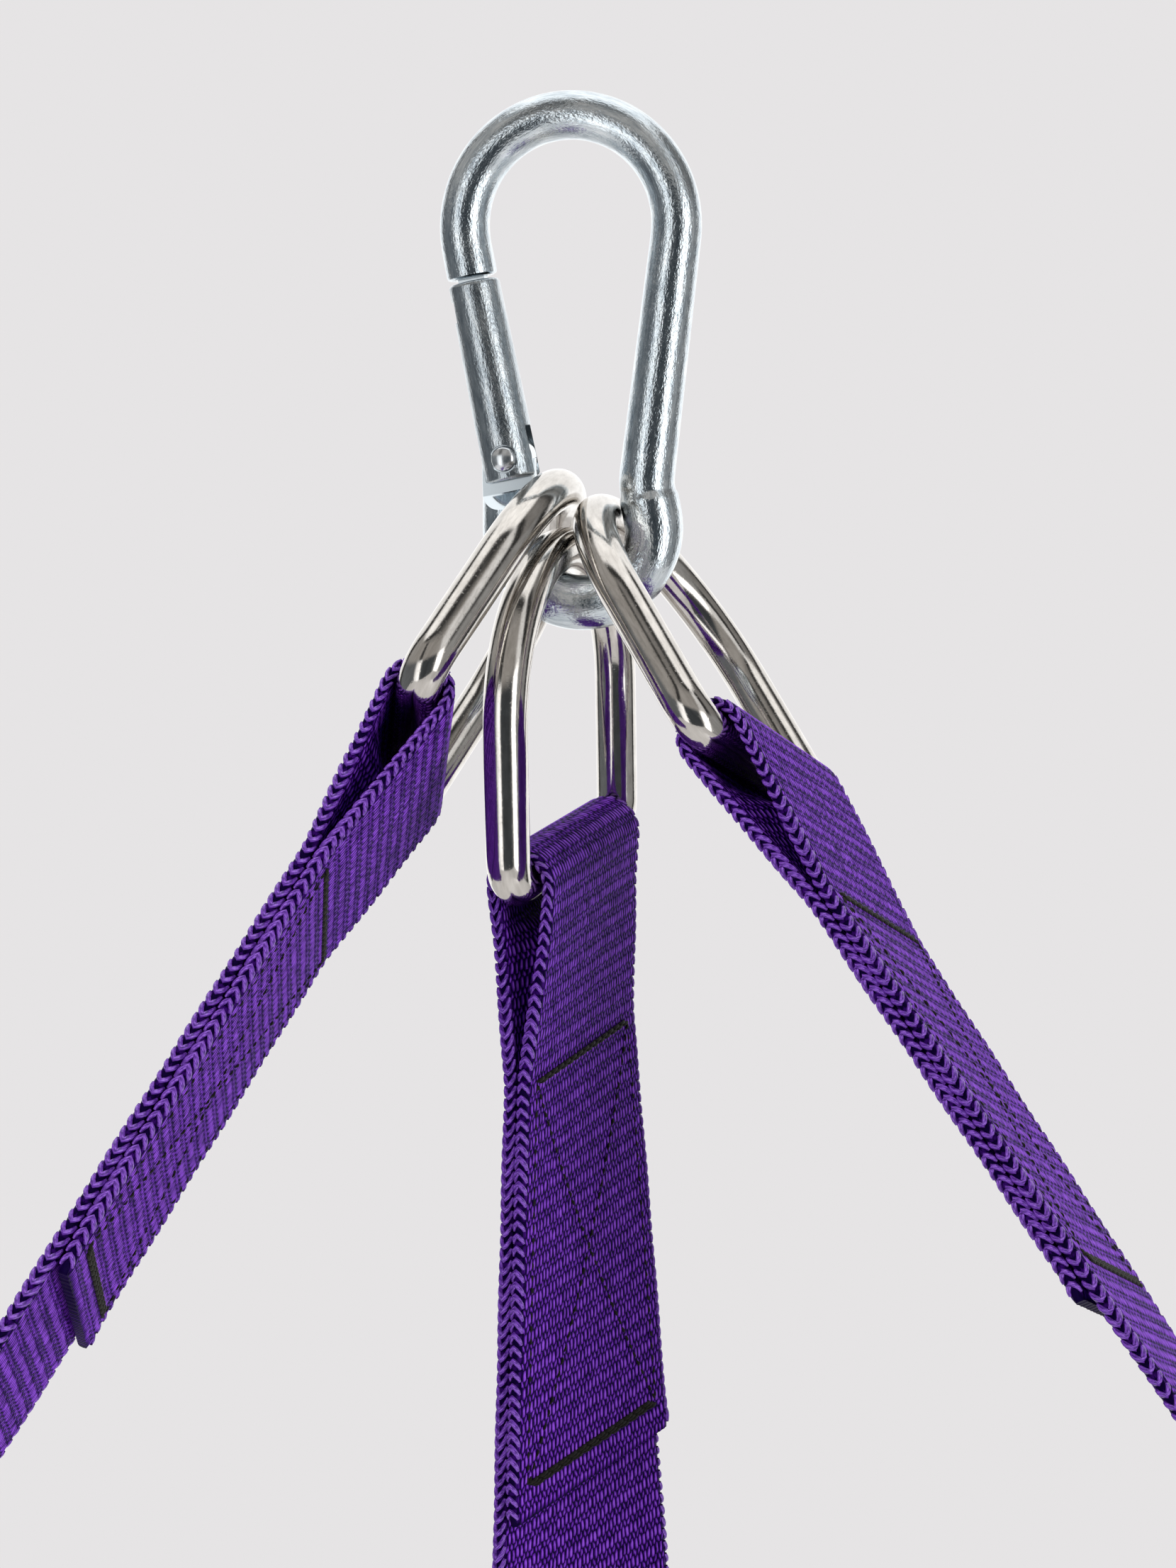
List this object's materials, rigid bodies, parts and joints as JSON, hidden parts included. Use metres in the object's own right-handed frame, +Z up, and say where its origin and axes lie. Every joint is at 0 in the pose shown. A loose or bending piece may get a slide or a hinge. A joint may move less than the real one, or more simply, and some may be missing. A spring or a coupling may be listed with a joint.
{
  "type": "swing suspension head",
  "caption": "Swing suspension head: a sprung snap hook holds D-rings, and each ring carries a sewn webbing strap that fans out to the seat below.",
  "frame": {"origin": "the hang point: inner top of the snap hook's big bow, where it hangs", "axes": "+Z up, +X from the hook's gate towards its spine, +Y through the hook away from the viewer"},
  "size_m": [0.3205, 0.2129, 0.3952],
  "materials": {
    "zinc_plated_steel": "bright zinc plating, slightly blue",
    "nickel_plated_steel": "polished nickel plating, warm",
    "spring_steel": "drawn wire, dull",
    "purple_webbing": "woven polyester webbing, slight sheen",
    "black_thread": "bonded sewing thread"
  },
  "bodies": {
    "hook": {"hook_body": "zinc_plated_steel", "gate_rivet": "zinc_plated_steel"},
    "gate": {"gate": "zinc_plated_steel", "gate_spring": "spring_steel"},
    "plunger": {"gate_plunger": "spring_steel"},
    "left_ring": {"left_d_ring": "nickel_plated_steel"},
    "left_strap": {"left_strap": "purple_webbing", "left_upper_stitching": "black_thread", "left_lower_stitching": "black_thread"},
    "centre_ring": {"centre_d_ring": "nickel_plated_steel"},
    "centre_strap": {"centre_strap": "purple_webbing", "centre_upper_stitching": "black_thread", "centre_lower_stitching": "black_thread"},
    "right_ring": {"right_d_ring": "nickel_plated_steel"},
    "right_strap": {"right_strap": "purple_webbing", "right_upper_stitching": "black_thread", "right_lower_stitching": "black_thread"}
  },
  "joints": [
    {"name": "gate_hinge", "type": "hinge", "parent": "hook", "child": "gate", "pos_m": [-0.0127, 0, -0.0578], "axis": [0, 1, 0], "range_deg": [0, 24], "stiffness_Nm_per_rad": 0.05, "springref_deg": -20.05},
    {"name": "plunger_slide", "type": "slide", "parent": "gate", "child": "plunger", "axis": [-0.1754, 0, 0.9845], "range_m": [0, 0.00053], "deforming": ["gate_spring"]},
    {"name": "left_ring_swing", "type": "hinge", "parent": "hook", "child": "left_ring", "pos_m": [-0.016, -0.0053, -0.0894], "axis": [0.8844, -0.0154, -0.4664], "range_deg": [-20, 35]},
    {"name": "left_strap_pivot", "type": "hinge", "parent": "left_ring", "child": "left_strap", "pos_m": [-0.02697, -0.02296, -0.10962], "axis": [-0.2733, 0.7929, -0.5446], "range_deg": [-10, 30]},
    {"name": "centre_ring_swing", "type": "hinge", "parent": "hook", "child": "centre_ring", "pos_m": [-0.0029, -0.0033, -0.1036], "axis": [0.9871, -0.1563, -0.0349], "range_deg": [-20, 20]},
    {"name": "centre_strap_pivot", "type": "hinge", "parent": "centre_ring", "child": "centre_strap", "pos_m": [-0.00358, -0.00114, -0.13251], "axis": [0.1585, 0.9849, 0.0697], "range_deg": [-12, 12]},
    {"name": "right_ring_swing", "type": "hinge", "parent": "hook", "child": "right_ring", "pos_m": [0.021, -0.001, -0.0925], "axis": [0.8221, -0.0072, 0.5693], "range_deg": [-20, 35]},
    {"name": "right_strap_pivot", "type": "hinge", "parent": "right_ring", "child": "right_strap", "pos_m": [0.03573, -0.01384, -0.11393], "axis": [0.2574, 0.8966, -0.3604], "range_deg": [-30, 10]}
  ],
  "couplings": [
    {"joint": "plunger_slide", "follows": "gate_hinge", "m_per_rad": 0.00125}
  ]
}
